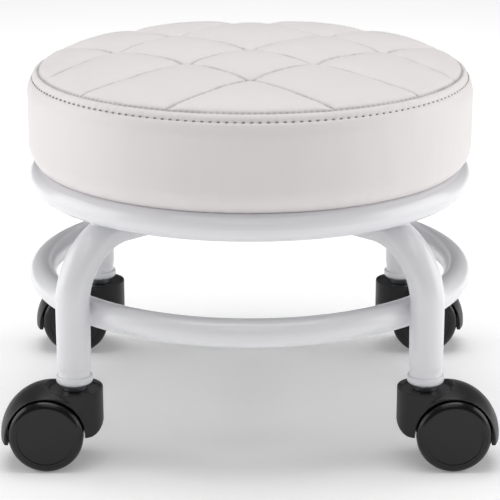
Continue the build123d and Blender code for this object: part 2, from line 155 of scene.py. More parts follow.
class SeamSettings(bpy.types.PropertyGroup):
    """The seam between the top panel and the side band, and the row of stitches below it."""

    seam_depth: FloatProperty(
        name="Seam depth",
        description="Depth of the groove along the seam",
        default=1.3 * MM,
        unit="LENGTH",
    )
    row_distance: FloatProperty(
        name="Stitch row distance",
        description="Distance of the topstitch row from the seam",
        default=6.8 * MM,
        unit="LENGTH",
    )
    row_stitches: IntProperty(
        name="Stitches",
        description="Number of stitches in the row round the seat",
        default=178,
    )
    stitch_share: FloatProperty(
        name="Stitch share",
        description="Length of a stitch as a share of its pitch",
        default=0.46,
        subtype="FACTOR",
    )
    thread: FloatProperty(
        name="Thread",
        description="Thickness of the sewing thread",
        default=1.15 * MM,
        unit="LENGTH",
    )


class FinishSettings(bpy.types.PropertyGroup):
    """Colours of the finishes."""

    leather: FloatVectorProperty(
        name="Synthetic leather",
        description="Colour of the cover",
        default=linear("#e9e4e4"),
        subtype="COLOR",
    )
    # The thread's grey is darker than the real near-white thread: painted shade of the stitch holes.
    thread: FloatVectorProperty(
        name="Thread",
        description="Colour of the sewing thread",
        default=linear("#948e8a"),
        subtype="COLOR",
    )
    coat: FloatVectorProperty(
        name="Powder coat",
        description="Colour of the tube frame",
        default=linear("#ececef"),
        subtype="COLOR",
    )
    nylon: FloatVectorProperty(
        name="Nylon",
        description="Colour of the caster hoods",
        default=linear("#101011"),
        subtype="COLOR",
    )
    wheel: FloatVectorProperty(
        name="Wheel plastic",
        description="Colour of the wheels",
        default=linear("#0a0a0b"),
        subtype="COLOR",
    )


class StageSettings(bpy.types.PropertyGroup):
    """Camera, lights and floor."""

    height: FloatProperty(
        name="Camera angle",
        description="How far the camera looks down, in degrees",
        default=16.86,
    )
    distance: FloatProperty(
        name="Camera distance",
        description="Distance of the camera from the middle of the stool",
        default=1.422,
        unit="LENGTH",
    )
    target: FloatProperty(
        name="Target height",
        description="Height of the point that the camera looks at",
        default=0.113,
        unit="LENGTH",
    )
    lens: FloatProperty(name="Lens", description="Focal length in millimetres", default=143.1)


# ---- materials ----
def add(tree, kind, links=None, **settings):
    """Adds a node, sets its properties, and sets or links its inputs."""
    node = tree.nodes.new(kind)
    for name, value in settings.items():
        setattr(node, name, value)
    for key, value in (links or {}).items():
        if isinstance(value, bpy.types.NodeSocket):
            tree.links.new(value, node.inputs[key])
        else:
            node.inputs[key].default_value = value
    return node


def new_material(name, **values):
    """An empty material with one Principled shader, whose sockets take the given values."""
    material = bpy.data.materials.new(name)
    material.use_nodes = True
    tree = material.node_tree
    tree.nodes.clear()
    shader = add(tree, "ShaderNodeBsdfPrincipled", {k.replace("_", " "): v for k, v in values.items()})
    output = add(tree, "ShaderNodeOutputMaterial", {"Surface": shader.outputs["BSDF"]})
    output.is_active_output = True
    return material, tree, shader


def tinted(tree, shader, colour, factor, low, high):
    """Colour that varies with a pattern between a darker and a lighter share of one colour."""
    ramp = add(tree, "ShaderNodeValToRGB", {"Fac": factor})
    ramp.color_ramp.elements[0].color = (*[c * low for c in colour], 1)
    ramp.color_ramp.elements[1].color = (*[min(1, c * high) for c in colour], 1)
    tree.links.new(ramp.outputs["Color"], shader.inputs["Base Color"])


def spread(tree, shader, factor, low, high):
    """Roughness that varies with a pattern."""
    span = add(
        tree,
        "ShaderNodeMapRange",
        {"Value": factor, "To Min": low, "To Max": high},
    )
    tree.links.new(span.outputs["Result"], shader.inputs["Roughness"])


def relief(tree, shader, height, strength, distance):
    """Surface relief from a pattern, whose full height is the distance."""
    bump = add(
        tree,
        "ShaderNodeBump",
        {"Height": height, "Strength": strength, "Distance": distance},
    )
    tree.links.new(bump.outputs["Normal"], shader.inputs["Normal"])


def place_of(tree):
    """The point on the piece, in metres."""
    return add(tree, "ShaderNodeTexCoord").outputs["Object"]


def per_metre(period):
    """Texture scale that repeats a pattern after the given length."""
    return 1 / period


# Painted shade: the cover's colour is darkened in the quilt creases and along the seam, where shade falls.
CREASE_SHADE = 0.36             # how much of its brightness the cover keeps at the bottom of a crease


def worn(tree, colour, groove, depth):
    """The colour, darkened in the creases and seams by painted shade, standing in for the shade that falls
    there.
    """
    mark = add(tree, "ShaderNodeAttribute", attribute_name=groove)
    shade = add(
        tree,
        "ShaderNodeMix",
        {"Factor": mark.outputs["Fac"]},
        data_type="RGBA",
        blend_type="MULTIPLY",
    )
    first, second = [socket for socket in shade.inputs if socket.type == "RGBA"]
    tree.links.new(colour, first)
    second.default_value = (depth, depth * 0.98, depth * 0.97, 1)
    return next(socket for socket in shade.outputs if socket.type == "RGBA")


def pu_leather():
    """PU leather: a polyurethane film embossed with a pebble grain on cloth. Satin, with soft creases."""
    colour = bpy.context.scene.stool_finish.leather
    material, tree, shader = new_material("pu_leather", Roughness=0.5, Specular_IOR_Level=0.42)
    point = place_of(tree)
    # The real grain is about 0.6 mm. It is drawn at 1.1 mm so that it still shows.
    pebble = add(
        tree,
        "ShaderNodeTexVoronoi",
        {"Vector": point, "Scale": per_metre(1.1 * MM), "Randomness": 1.0},
        feature="SMOOTH_F1",
    )
    fold = add(
        tree,
        "ShaderNodeTexNoise",
        {"Vector": point, "Scale": per_metre(9 * MM), "Detail": 5.0, "Roughness": 0.62},
    )
    cloud = add(
        tree,
        "ShaderNodeTexNoise",
        {"Vector": point, "Scale": per_metre(60 * MM), "Detail": 3.0},
    )
    tinted(tree, shader, colour, cloud.outputs["Fac"], 0.965, 1.0)
    plain = shader.inputs["Base Color"].links[0].from_socket
    # Painted shade: the cover is darkened along the quilt creases and the seam, read from the crease
    # attribute.
    tree.links.new(worn(tree, plain, "crease", CREASE_SHADE), shader.inputs["Base Color"])
    spread(tree, shader, fold.outputs["Fac"], 0.42, 0.58)
    height = add(
        tree,
        "ShaderNodeMath",
        {0: pebble.outputs["Distance"], 1: fold.outputs["Fac"]},
        operation="ADD",
    )
    relief(tree, shader, height.outputs["Value"], 0.35, 0.12 * MM)
    return material


def polyester_thread():
    """Twisted polyester sewing thread: matt, a little darker than the cover, with a fine twist. The darker
    grey is painted shade of the stitch holes on a near-white thread.
    """
    colour = bpy.context.scene.stool_finish.thread
    material, tree, shader = new_material("polyester_thread", Roughness=0.75, Sheen_Weight=0.2)
    point = place_of(tree)
    # The twist of the thread repeats after about 0.5 mm.
    twist = add(
        tree,
        "ShaderNodeTexWave",
        {"Vector": point, "Scale": per_metre(3 * MM), "Distortion": 2.0},
        bands_direction="DIAGONAL",
    )
    tinted(tree, shader, colour, twist.outputs["Fac"], 0.8, 1.0)
    relief(tree, shader, twist.outputs["Fac"], 0.5, 0.1 * MM)
    return material


def powder_coat():
    """Polyester powder coat on steel tube: a smooth satin-gloss skin with a faint orange peel."""
    colour = bpy.context.scene.stool_finish.coat
    material, tree, shader = new_material("powder_coat", Roughness=0.3, Coat_Weight=0.5, Coat_Roughness=0.12)
    point = place_of(tree)
    # The orange peel of a powder coat has waves of about 2 mm.
    peel = add(
        tree,
        "ShaderNodeTexNoise",
        {"Vector": point, "Scale": per_metre(2.2 * MM), "Detail": 2.0},
    )
    cloud = add(
        tree,
        "ShaderNodeTexNoise",
        {"Vector": point, "Scale": per_metre(45 * MM), "Detail": 3.0},
    )
    tinted(tree, shader, colour, cloud.outputs["Fac"], 0.975, 1.0)
    spread(tree, shader, cloud.outputs["Fac"], 0.24, 0.36)
    relief(tree, shader, peel.outputs["Fac"], 0.12, 0.08 * MM)
    return material


def moulded_nylon():
    """Glass-filled nylon, injection moulded in a spark-eroded mould: black, satin, finely textured."""
    colour = bpy.context.scene.stool_finish.nylon
    material, tree, shader = new_material("moulded_nylon", Roughness=0.42, IOR=1.53, Specular_IOR_Level=0.36)
    point = place_of(tree)
    # The mould's texture is about 0.2 mm. It is drawn at 0.5 mm so that it still shows.
    spark = add(
        tree,
        "ShaderNodeTexNoise",
        {"Vector": point, "Scale": per_metre(0.5 * MM), "Detail": 3.0, "Roughness": 0.7},
    )
    flow = add(
        tree,
        "ShaderNodeTexNoise",
        {"Vector": point, "Scale": per_metre(14 * MM), "Detail": 4.0},
    )
    tinted(tree, shader, colour, flow.outputs["Fac"], 0.85, 1.2)
    spread(tree, shader, flow.outputs["Fac"], 0.36, 0.48)
    relief(tree, shader, spark.outputs["Fac"], 0.18, 0.05 * MM)
    return material


def polished_nylon():
    """Wheels of solid nylon from a polished mould: black, semi-gloss, with light rolling scuffs."""
    colour = bpy.context.scene.stool_finish.wheel
    material, tree, shader = new_material("polished_nylon", Roughness=0.2, IOR=1.5, Specular_IOR_Level=0.4)
    point = place_of(tree)
    scuff = add(
        tree,
        "ShaderNodeTexNoise",
        {"Vector": point, "Scale": per_metre(3 * MM), "Detail": 6.0, "Roughness": 0.7},
    )
    flow = add(
        tree,
        "ShaderNodeTexNoise",
        {"Vector": point, "Scale": per_metre(20 * MM), "Detail": 2.0},
    )
    tinted(tree, shader, colour, flow.outputs["Fac"], 0.85, 1.15)
    spread(tree, shader, scuff.outputs["Fac"], 0.14, 0.3)
    relief(tree, shader, scuff.outputs["Fac"], 0.06, 0.05 * MM)
    return material


def zinc_plate():
    """Bright zinc plated steel: cool grey metal with fine turning marks and a cloudy passivation."""
    material, tree, shader = new_material("zinc_plate", Metallic=1.0, Roughness=0.3)
    point = place_of(tree)
    # The real turning marks are 0.3 mm apart, round the upright axis of each screw and stem; here they are a
    # fine noise of about 0.6 mm with no direction.
    marks = add(
        tree,
        "ShaderNodeTexNoise",
        {"Vector": point, "Scale": per_metre(0.6 * MM), "Detail": 2.0},
    )
    cloud = add(
        tree,
        "ShaderNodeTexNoise",
        {"Vector": point, "Scale": per_metre(6 * MM), "Detail": 4.0},
    )
    tinted(tree, shader, linear("#b7bcc2"), cloud.outputs["Fac"], 0.85, 1.1)
    spread(tree, shader, cloud.outputs["Fac"], 0.22, 0.4)
    relief(tree, shader, marks.outputs["Fac"], 0.1, 0.03 * MM)
    return material


def needled_felt():
    """Needled polyester felt: matt black with a fuzzy tangle of fibres."""
    material, tree, shader = new_material("needled_felt", Roughness=0.95, Sheen_Weight=0.4)
    point = place_of(tree)
    # Fibres of 0.03 mm tangle in tufts of about 1.5 mm, which is what shows.
    tuft = add(
        tree,
        "ShaderNodeTexNoise",
        {"Vector": point, "Scale": per_metre(1.5 * MM), "Detail": 8.0, "Roughness": 0.75, "Distortion": 1.5},
    )
    tinted(tree, shader, linear("#17171a"), tuft.outputs["Fac"], 0.6, 1.5)
    relief(tree, shader, tuft.outputs["Fac"], 0.8, 0.4 * MM)
    return material


def birch_plywood():
    """Raw birch plywood: pale wood with long grain."""
    material, tree, shader = new_material("birch_plywood", Roughness=0.65)
    point = place_of(tree)
    # Grain lines about 3 mm apart that run along X.
    long_way = add(tree, "ShaderNodeMapping", {"Vector": point, "Scale": (0.08, 1.0, 1.0)})
    grain = add(
        tree,
        "ShaderNodeTexNoise",
        {"Vector": long_way.outputs["Vector"], "Scale": per_metre(3 * MM), "Detail": 6.0},
    )
    tinted(tree, shader, linear("#d8bd92"), grain.outputs["Fac"], 0.7, 1.1)
    relief(tree, shader, grain.outputs["Fac"], 0.3, 0.1 * MM)
    return material


def cut_foam():
    """Cut polyurethane foam: matt, pale yellow, with open cells."""
    material, tree, shader = new_material("cut_foam", Roughness=0.9)
    point = place_of(tree)
    # Cells of about 1 mm.
    cells = add(tree, "ShaderNodeTexVoronoi", {"Vector": point, "Scale": per_metre(1 * MM)})
    tinted(tree, shader, linear("#efe3b0"), cells.outputs["Distance"], 0.7, 1.0)
    relief(tree, shader, cells.outputs["Distance"], 0.6, 0.3 * MM)
    return material


FINISHES = {
    "white_pu_leather": pu_leather,
    "white_powder_coat": powder_coat,
    "black_nylon": moulded_nylon,
    "black_wheel_plastic": polished_nylon,
    "zinc_steel": zinc_plate,
    "black_felt": needled_felt,
    "plywood": birch_plywood,
    "foam": cut_foam,
    "thread": polyester_thread,
}


def finish(slot):
    """The material of a slot, made the first time it is asked for."""
    made = FINISHES[slot]
    return bpy.data.materials.get(made.__name__) or made()


# ---- meshes ----
def new_piece(name, points, faces, slot, body="frame"):
    """A smooth mesh object at the origin that rides on a body and has its slot's finish."""
    mesh = bpy.data.meshes.new(name)
    mesh.from_pydata([tuple(p) for p in points], [], [tuple(f) for f in faces])
    mesh.update()
    return piece_of(name, mesh, slot, body)


def piece_of(name, mesh, slot, body="frame"):
    """An object for a finished mesh."""
    mesh.name = name
    mesh.materials.clear()
    mesh.materials.append(finish(slot))
    mesh.shade_smooth()
    piece = bpy.data.objects.new(name, mesh)
    bpy.context.scene.collection.objects.link(piece)
    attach(piece, body)
    return piece


def evaluated_mesh(piece):
    """A plain mesh of the object with its modifiers applied."""
    graph = bpy.context.evaluated_depsgraph_get()
    graph.update()
    return bpy.data.meshes.new_from_object(piece.evaluated_get(graph))


def drop(piece):
    """Removes a helper object."""
    mesh = piece.data
    bpy.data.objects.remove(piece)
    bpy.data.meshes.remove(mesh)


# ---- the quilt pattern ----
def quilt_v(u, offset, bow, slant):
    """Where a quilt line lies across its direction, at a distance u along it."""
    return offset + bow * (u / SEAM_R) ** 2 + slant * u / SEAM_R


def line_distance(x, y):
    """Distance of points in plan from the nearest quilt line of each family."""
    found = []
    for side in (1, -1):
        u, v = (side * x + y) / math.sqrt(2), (y - side * x) / math.sqrt(2)
        gaps = [np.abs(v - quilt_v(u, *line)) for line in QUILT_LINES]
        found.append(np.minimum.reduce(gaps))
    return found


def quilt_points(step, offsets, reach):
    """Points in plan along every quilt line, at some distances beside it, inside a radius."""
    rows = []
    for side in (1, -1):
        for line in QUILT_LINES:
            for beside in offsets:
                u = np.arange(-SEAM_R, SEAM_R, step)
                v = quilt_v(u, *line) + beside
                rows.append(np.stack([side * (u - v), u + v], 1) / math.sqrt(2))
    points = np.concatenate(rows)
    return points[np.hypot(*points.T) < reach]


def thinned(points, gap):
    """The points less those that lie closer than a gap to an earlier one."""
    kept, cells = [], {}
    for x, y in points:
        cell = (int(x // gap), int(y // gap))
        near = (cells.get((cell[0] + i, cell[1] + j), ()) for i in (-1, 0, 1) for j in (-1, 0, 1))
        if all((x - a) ** 2 + (y - b) ** 2 >= gap * gap for group in near for a, b in group):
            cells.setdefault(cell, []).append((x, y))
            kept.append((x, y))
    return np.array(kept)


def circle_points(radius, count):
    """Points round a circle in plan."""
    turn = np.arange(count) * 2 * math.pi / count
    return np.stack([radius * np.cos(turn), radius * np.sin(turn)], 1)


def disc(spacing, beside, rim, rim_rows):
    """Triangles over the top panel in plan: rows along the quilt lines and the rim, and a grid between."""
    rings = [circle_points(SEAM_R - gap, rim) for gap in rim_rows]
    inner = SEAM_R - max(rim_rows) - spacing / 2
    count = int(SEAM_R / spacing) + 2
    grid = np.array(
        [
            (spacing * (i + 0.5 * (j % 2)), spacing * j * math.sqrt(3) / 2)
            for j in range(-int(count * 1.2), int(count * 1.2))
            for i in range(-count, count)
        ]
    )
    grid = grid[np.hypot(*grid.T) < inner]
    near = np.minimum(*line_distance(*grid.T))
    grid = grid[near > max(beside) + 0.6 * spacing]
    along = thinned(quilt_points(spacing * 0.62, beside, inner), min(0.45 * spacing, 0.9 * MM))
    points = np.concatenate([*rings, along, grid])
    verts, _, faces, *_ = delaunay_2d_cdt([Vector(p) for p in points], [], [], 0, 1e-7)
    return np.array([v[:] for v in verts]), [tuple(f) for f in faces]


def line_level(x, y):
    """Height of the cover where a quilt line holds it."""
    settings = bpy.context.scene.stool_quilt
    rise = CROWN_Z - SEAM_Z - settings.pad_height * 1.1
    level = SEAM_Z + rise * (1 - np.clip(np.hypot(x, y) / SEAM_R, 0, 1) ** 2.4)
    first, second = line_distance(x, y)
    knot = np.exp(-(first**2 + second**2) / (11 * MM) ** 2)
    return level - settings.knot_depth * knot


# ---- the side band ----
def band_outline(fine):
    """Distance along the side band from the seam, with radius, height and outward direction."""
    base_z = SEAT_BASE
    points = []

    def arc(centre, radius, start, end, step):
        count = max(2, int(abs(end - start) * radius / step))
        for t in np.linspace(start, end, count, endpoint=False):
            points.append((centre[0] + radius * math.cos(t), centre[1] + radius * math.sin(t)))

    out = SEAT_R - SEAM_R
    top_r = (out**2 + EDGE_DROP**2) / (2 * out)
    under = SEAT_R - BOARD_R
    low_r = (under**2 + EDGE_DROP**2) / (2 * under)
    arc((SEAT_R - top_r, SEAM_Z - EDGE_DROP), top_r, math.asin(EDGE_DROP / top_r), 0, fine)
    for z in np.arange(SEAM_Z - EDGE_DROP, base_z + EDGE_DROP, -2.4 * fine):
        points.append((SEAT_R, z))
    arc((SEAT_R - low_r, base_z + EDGE_DROP), low_r, 0, -math.asin(EDGE_DROP / low_r), 1.6 * fine)
    for r in np.linspace(BOARD_R, FLANGE_R, UNDER_ROWS):
        points.append((r, base_z))
    line = np.array(points)
    steps = np.hypot(*np.diff(line, axis=0).T)
    along = np.concatenate([[0], np.cumsum(steps)])
    tangent = np.gradient(line, axis=0)
    tangent /= np.hypot(*tangent.T)[:, None]
    outward = np.stack([-tangent[:, 1], tangent[:, 0]], 1)
    return along, line, outward


def lathe_faces(rows, count, first=0):
    """Quads between rows of points round the Z axis, wound so that they face outwards going down."""
    faces = []
    for j in range(rows - 1):
        for i in range(count):
            a = first + j * count + i
            b = first + j * count + (i + 1) % count
            faces.append((a, a + count, b + count, b))
    return faces


# ---- cloth simulation ----
def settle(points, faces, pinned, frames=20):
    """Fills the sewn cover: pressure on a cloth that is held at its seams. Returns the new points."""
    mesh = bpy.data.meshes.new("settling")
    mesh.from_pydata([tuple(p) for p in points], [], faces)
    piece = bpy.data.objects.new("settling", mesh)
    bpy.context.scene.collection.objects.link(piece)
    sewn = piece.vertex_groups.new(name="sewn")
    sewn.add([int(i) for i in pinned], 1.0, "REPLACE")
    cloth = piece.modifiers.new("Filling", "CLOTH")
    cloth.settings.quality = 6
    cloth.settings.mass = 0.25
    cloth.settings.tension_stiffness = 12
    cloth.settings.compression_stiffness = 12
    cloth.settings.shear_stiffness = 4
    cloth.settings.bending_stiffness = 0.3
    cloth.settings.vertex_group_mass = "sewn"
    cloth.settings.use_pressure = True
    cloth.settings.uniform_pressure_force = bpy.context.scene.stool_quilt.pressure
    cloth.settings.effector_weights.gravity = 0
    cloth.collision_settings.use_collision = False
    cloth.point_cache.frame_start = 1
    cloth.point_cache.frame_end = frames
    for step in range(1, frames + 1):
        bpy.context.scene.frame_set(step)
    settled = evaluated_mesh(piece)
    result = np.array([v.co[:] for v in settled.vertices])
    bpy.data.meshes.remove(settled)
    bpy.context.scene.frame_set(1)
    drop(piece)
    return result


def sampler(flat, values, faces):
    """A function that reads values between scattered points in plan."""
    tree = BVHTree.FromPolygons([(x, y, v) for (x, y), v in zip(flat, values)], faces)
    down = Vector((0, 0, -1))

    def read(x, y):
        out = np.zeros(len(x))
        for i, (a, b) in enumerate(zip(x, y)):
            hit = tree.ray_cast(Vector((a, b, 1)), down)[0]
            out[i] = hit.z if hit else 0.0
        return out

    return read


def smoothed(values, faces, rounds, held=None):
    """Values at the points of a mesh, evened out along its edges."""
    edges = {tuple(sorted((f[i], f[i - 1]))) for f in faces for i in range(len(f))}
    a, b = np.array(sorted(edges)).T
    share = np.bincount(np.concatenate([a, b]), minlength=len(values))
    for _ in range(rounds):
        total = np.bincount(a, values[b], len(values)) + np.bincount(b, values[a], len(values))
        new = 0.5 * values + 0.5 * total / share
        values = new if held is None else np.where(held, values, new)
    return values


def settled_top(quick):
    """How far the filling lifts the top panel over its quilt lines, as a function of plan position."""
    flat, faces = disc(4.2 * MM, (0.0,), 220, (0.0,))
    x, y = flat.T
    near = np.minimum(*line_distance(x, y))
    radius = np.hypot(x, y)
    pad = bpy.context.scene.stool_quilt.pad_height
    start = line_level(x, y)
    rim_gap = SEAM_R - radius
    if quick:
        lift = pad * (1 - np.exp(-near / (11 * MM))) * (1 - np.exp(-rim_gap / (8 * MM)))
    else:
        held = np.where((near < 0.6 * MM) | (rim_gap < 0.6 * MM))[0]
        hint = 0.4 * MM * (1 - np.exp(-np.minimum(near, rim_gap) / (6 * MM)))
        rest = np.stack([x, y, start + hint], 1)
        lift = settle(rest, faces, held)[:, 2] - start
        lift = np.clip(lift, 0, None)
        lift *= pad / np.percentile(lift, 97)
    return sampler(flat, lift, faces)


# ---- the finished cushion ----


def top_surface(quick):
    """Points and triangles of the top panel with its pads, creases, knots and seam edge."""
    quilt = bpy.context.scene.stool_quilt
    seam = bpy.context.scene.stool_seam
    beside = [g * MM for g in (0, 0.8, -0.8, 1.9, -1.9)]
    rim_rows = [g * MM for g in (0, 0.6, 1.3, 2.3, 3.6)]
    flat, faces = disc(2.1 * MM, beside, RIM, rim_rows)
    x, y = flat.T
    first, second = line_distance(x, y)
    near = np.minimum(first, second)
    radius = np.hypot(x, y)
    rim_gap = SEAM_R - radius
    inside = np.minimum(1, (SEAM_R - 0.3 * MM) / np.maximum(radius, 1e-6))
    lift = settled_top(quick)(x * inside, y * inside)
    edge = rim_gap < 0.3 * MM
    lift = smoothed(np.where(edge, 0, lift), faces, 5, edge)
    z = line_level(x, y) + lift
    inner = np.clip(rim_gap / (5 * MM), 0, 1)
    z -= quilt.crease_depth * np.exp(-((near / (1.1 * MM)) ** 2)) * inner
    both = np.hypot(first, second)
    z -= 1.3 * MM * np.exp(-((both / (2.6 * MM)) ** 2))
    # small gathers that run out from the crease between its stitches and out from each crossing
    turn = np.arctan2(y, x)
    gather = np.array([noise.noise(Vector((a * 330, b * 330, 0.0))) for a, b in zip(x, y)])
    fan = np.array([noise.noise(Vector((a * 95, b * 95, 3.0))) for a, b in zip(x, y)])
    z += 0.32 * MM * gather * np.exp(-near / (5 * MM)) * inner
    z += 0.55 * MM * fan * np.exp(-near / (16 * MM)) * inner
    z -= seam.seam_depth * np.exp(-((rim_gap / (1.0 * MM)) ** 2))
    pull = np.array([noise.noise(Vector((math.cos(t) * 21, math.sin(t) * 21, 5.0))) for t in turn])
    z += 0.5 * MM * pull * np.exp(-rim_gap / (7 * MM)) * np.clip(rim_gap / (1.5 * MM), 0, 1)
    return np.stack([x, y, z], 1), faces


def band_surface():
    """Points and faces of the side band with its seam edge, stitch groove and light creases."""
    seam = bpy.context.scene.stool_seam
    along, line, outward = band_outline(BAND_STEP)
    rows, count = len(along), RIM
    turn = np.tile(np.arange(count) * 2 * math.pi / count, rows)
    s = np.repeat(along, count)
    end = along[-UNDER_ROWS]
    phase = np.cos(turn * seam.row_stitches)
    allowance = np.exp(-(((s - 0.5 * seam.row_distance) / (2.0 * MM)) ** 2))
    lift = -seam.seam_depth * np.exp(-((s / (0.9 * MM)) ** 2))
    lift += (0.55 + 0.12 * phase) * MM * allowance
    lift -= (0.75 - 0.3 * phase) * MM * np.exp(-(((s - seam.row_distance) / (1.0 * MM)) ** 2))
    wall = np.clip((s - 9 * MM) / (12 * MM), 0, 1) * np.clip((end - s) / (6 * MM), 0, 1)
    low = np.clip((s - 0.62 * end) / (0.3 * end), 0, 1) * wall
    swell = round_noise(turn, s, 7, 22)
    ripple = round_noise(turn, s, 22, 30)
    pleat = round_noise(turn, s, 38, 25)
    gather = round_noise(turn, s, 45, 60) * np.clip(s / (3 * MM), 0, 1) * np.exp(-s / (11 * MM))
    lift += (0.45 * swell * wall + 0.12 * ripple * wall + 0.18 * pleat * low + 0.45 * gather) * MM
    lift = np.where(s > end - 1e-6, 0, lift)
    r = np.repeat(line[:, 0], count) + lift * np.repeat(outward[:, 0], count)
    z = np.repeat(line[:, 1], count) + lift * np.repeat(outward[:, 1], count)
    points = np.stack([r * np.cos(turn), r * np.sin(turn), z], 1)
    points[:count, 2] = SEAM_Z - seam.seam_depth
    points[:count, :2] = circle_points(SEAM_R, count)
    return points, lathe_faces(rows, count)


def round_noise(turn, s, around, down):
    """Smooth noise on the side band, a number of waves round it and one per length down it."""
    points = zip(np.cos(turn) * around, np.sin(turn) * around, s * down)
    return np.array([noise.noise(Vector(p)) for p in points])


def inner_surface(count):
    """Points and faces that close the cushion: over the turned-under edge and across the board."""
    cover, play = 1.2 * MM, 0.05 * MM
    under, over = SEAT_BASE + cover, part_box("seat_board")[1].z + play
    outline = (
        (FLANGE_R, SEAT_BASE),
        (FLANGE_R, under - play),
        (BOARD_R + play, under - play),
        (BOARD_R + play, over),
    )
    rings = [circle_points(r, count) for r, _ in outline]
    rings += [circle_points(BOARD_R * share, count) for share in (0.66, 0.33)]
    heights = [z for _, z in outline] + [over, over]
    points = np.concatenate([np.column_stack([ring, np.full(count, z)]) for ring, z in zip(rings, heights)])
    middle = len(points)
    last = middle - count
    faces = lathe_faces(len(rings), count)
    faces += [(last + i, middle, last + (i + 1) % count) for i in range(count)]
    return np.concatenate([points, [(0, 0, over)]]), faces


def upward(points, faces):
    """Triangles in plan turned so that they all face up."""
    turned = []
    for face in faces:
        a, b, c = (points[i] for i in face[:3])
        area = (b[0] - a[0]) * (c[1] - a[1]) - (c[0] - a[0]) * (b[1] - a[1])
        turned.append(face if area > 0 else face[::-1])
    return turned


def surface_tree(piece):
    """The cushion's surface, to cast rays on."""
    mesh = piece.data
    return BVHTree.FromPolygons([v.co for v in mesh.vertices], [p.vertices for p in mesh.polygons])


def surface_height(piece):
    """A function that gives the cushion's height over a point in plan."""
    tree = surface_tree(piece)
    return lambda x, y: tree.ray_cast(Vector((x, y, 1)), Vector((0, 0, -1)))[0]


def mark_creases(mesh):
    """Stores how deep in a quilt crease or in the seam each point lies, from 0 to 1, as the mask of painted
    shade in the cover's colour.
    """
    seam = bpy.context.scene.stool_seam
    x, y, z = np.array([v.co[:] for v in mesh.vertices]).T
    radius = np.hypot(x, y)
    first, second = line_distance(x, y)
    on_top = (radius < SEAM_R - 0.2 * MM) & (z > SEAM_Z - 5 * MM)
    quilt_width, knot_width, seam_width, seam_offset = 0.75 * MM, 2.4 * MM, 1.15 * MM, 0.3 * MM
    quilt = np.exp(-((np.minimum(first, second) / quilt_width) ** 2))
    knot = np.exp(-((np.hypot(first, second) / knot_width) ** 2))
    uneven = np.array([noise.noise(Vector((a * 60, b * 60, 9.0))) for a, b in zip(x, y)])
    mark = np.where(on_top, np.clip(quilt * (0.72 + 0.5 * uneven) + 0.6 * knot, 0, 1), 0)
    rim = np.hypot(radius - SEAM_R + seam_offset, z - SEAM_Z + seam.seam_depth)
    # Painted shade along the seam, in darker dashes at the stitch pitch where the stitch holes shade.
    seam_dash_shade = 0.8 + 0.3 * np.cos(np.arctan2(y, x) * 1.3 * seam.row_stitches)
    mark = np.maximum(mark, (seam_dash_shade + 0.4 * uneven) * np.exp(-((rim / seam_width) ** 2)))
    crease = mesh.attributes.new("crease", "FLOAT", "POINT")
    crease.data.foreach_set("value", np.clip(mark, 0, 1).astype(np.float32))


class STOOL_OT_cushion(bpy.types.Operator):
    """Make the padded seat cover: quilted top panel, side band and the edge turned under the board"""

    bl_idname = "stool.cushion"
    bl_label = "Quilted cushion"

    def execute(self, context):
        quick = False
        top, top_faces = top_surface(quick)
        rim = np.hypot(top[:, 0], top[:, 1]) > SEAM_R - 0.1 * MM
        top[rim, 2] = SEAM_Z - context.scene.stool_seam.seam_depth
        band, band_faces = band_surface()
        inner, inner_faces = inner_surface(RIM)
        faces = upward(top, top_faces)
        for first, group in ((len(top), band_faces), (len(top) + len(band), inner_faces)):
            faces += [tuple(i + first for i in face) for face in group]
        piece = new_piece(CUSHION, np.concatenate([top, band, inner]), faces, "white_pu_leather")
        work = bmesh.new()
        work.from_mesh(piece.data)
        bmesh.ops.remove_doubles(work, verts=work.verts, dist=1e-6)
        work.to_mesh(piece.data)
        work.free()
        piece.data.shade_smooth()
        mark_creases(piece.data)
        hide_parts("cover_top", "cover_band", "foam_pad")
        return {"FINISHED"}


# ---- things that repeat along a path ----
def path_object(name, loops):
    """A helper object of edges along one or more paths, each (points, whether it closes)."""
    points, edges = [], []
    for path, closed in loops:
        first = len(points)
        points += [tuple(p) for p in path]
        edges += [(i, i + 1) for i in range(first, len(points) - 1)]
        if closed:
            edges.append((len(points) - 1, first))
    mesh = bpy.data.meshes.new(name)
    mesh.from_pydata(points, edges, [])
    piece = bpy.data.objects.new(name, mesh)
    bpy.context.scene.collection.objects.link(piece)
    return piece


